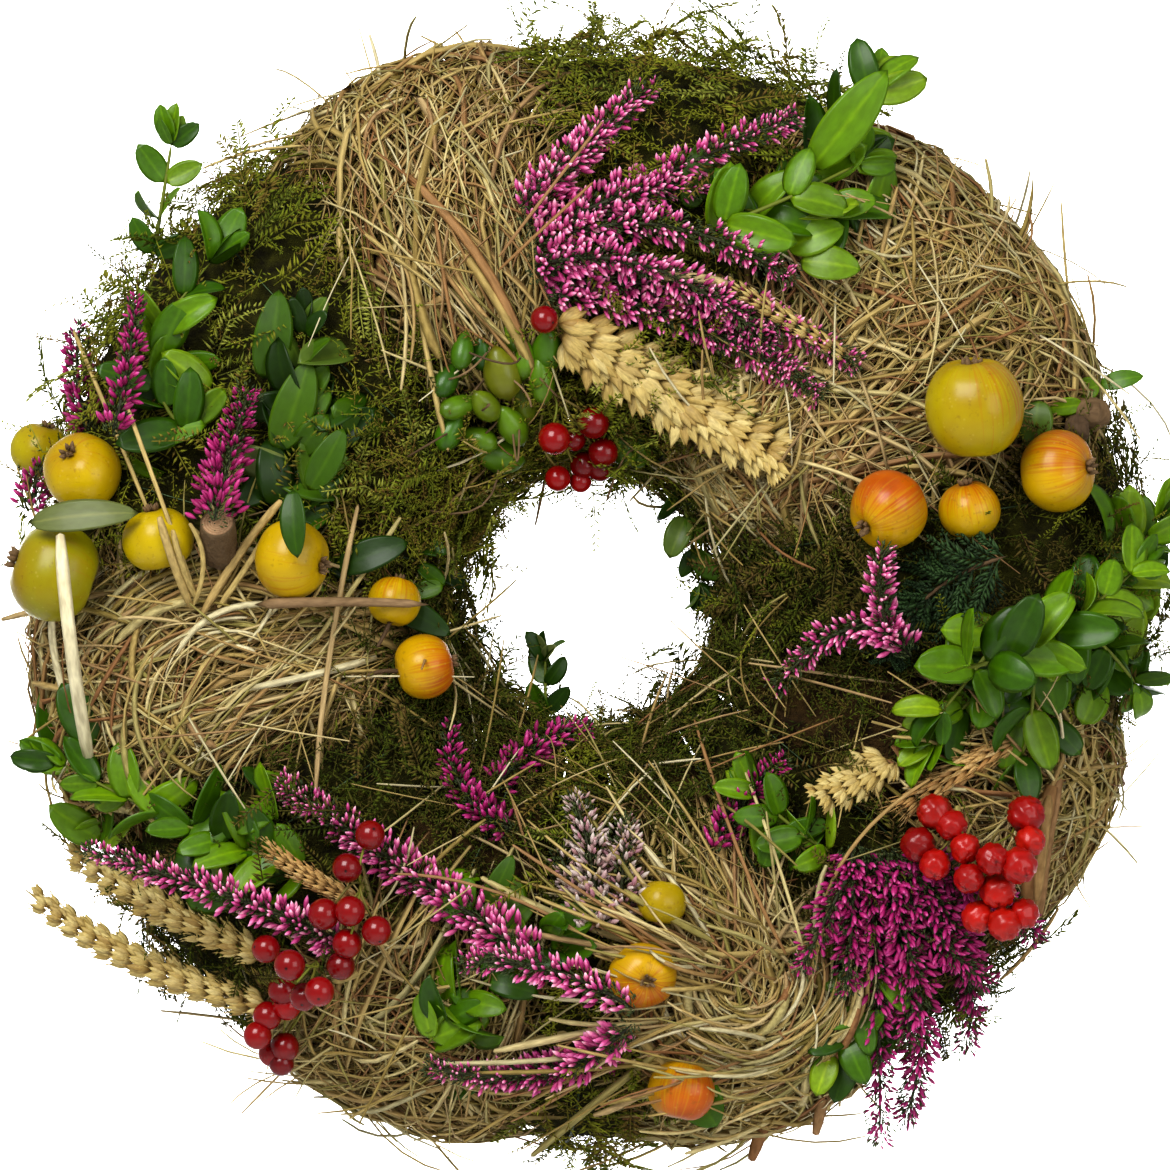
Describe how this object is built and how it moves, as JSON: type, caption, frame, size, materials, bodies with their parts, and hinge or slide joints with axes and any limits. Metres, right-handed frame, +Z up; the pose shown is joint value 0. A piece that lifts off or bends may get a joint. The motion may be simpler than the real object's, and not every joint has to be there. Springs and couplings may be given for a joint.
{
  "type": "harvest door wreath",
  "caption": "Round natural wreath of moss and hay on a straw ring, trimmed with small fruit, berries, grain ears, heather and leaf sprigs, with a swinging hanging ring.",
  "frame": {"origin": "top inside of the hanging ring, where the nail carries the wreath", "axes": "+X to the right as seen from the front, +Z up, the front looks along -Y, the flat back faces +Y"},
  "size_m": [0.3572, 0.1236, 0.348],
  "materials": {
    "straw": "matte",
    "binding_wire": "satin",
    "steel": "satin",
    "moss": "matte",
    "hay": "matte",
    "apple": "gloss",
    "berry": "gloss",
    "scarlet": "satin",
    "pod": "satin",
    "cypress": "matte",
    "box_leaf": "satin",
    "ear": "matte",
    "heather": "matte",
    "twig": "matte",
    "wood": "matte"
  },
  "bodies": {
    "wreath": {"straw_base": "straw", "base_binding_wire": "binding_wire", "hanger_eye_pin": "steel", "moss_top": "moss", "hay_top_left": "hay", "moss_upper_left": "moss", "hay_left": "hay", "moss_lower_left": "moss", "hay_bottom_left": "hay", "moss_bottom": "moss", "hay_bottom": "hay", "moss_lower_right": "moss", "hay_right_low": "hay", "moss_right": "moss", "hay_top_right": "hay", "branch_stub": "wood", "brown_twig": "twig", "berry_single": "berry", "green_pods": "pod", "berries_lower_left": "berry", "berries_low_outer": "berry", "berries_right_upper": "scarlet", "berries_right_lower": "scarlet", "berries_over_hole": "berry", "cypress_sprig": "cypress", "apple_left_back": "apple", "apple_left_top": "apple", "apple_left_outer": "apple", "apple_left_mid": "apple", "apple_left_stub": "apple", "apple_inner_small": "apple", "apple_inner_blush": "apple", "apple_right_big": "apple", "apple_right_outer": "apple", "apple_right_red": "apple", "apple_right_hidden": "apple", "apple_bottom_small": "apple", "apple_bottom_brown": "apple", "apple_bottom_low": "apple", "box_sprig_left": "box_leaf", "box_sprig_inner_left": "box_leaf", "box_sprig_low_left": "box_leaf", "box_sprig_bottom": "box_leaf", "box_sprig_right": "box_leaf", "box_sprig_top": "box_leaf", "ear_left_upper": "ear", "ear_left_lower": "ear", "ear_big": "ear", "ear_stub": "ear", "ear_grass": "ear", "heather_left_outer": "heather", "heather_left_inner": "heather", "heather_low_left": "heather", "heather_bottom_white": "heather", "heather_bottom_long": "heather", "heather_bottom_fan": "heather", "heather_inner_right": "heather", "heather_droop": "heather", "heather_top": "heather"},
    "ring": {"hanging_ring": "steel"}
  },
  "joints": [
    {"name": "ring_swing", "type": "hinge", "parent": "wreath", "child": "ring", "pos_m": [0, 0, -0.019], "axis": [-1, 0, 0], "range_deg": [-10, 150]}
  ]
}
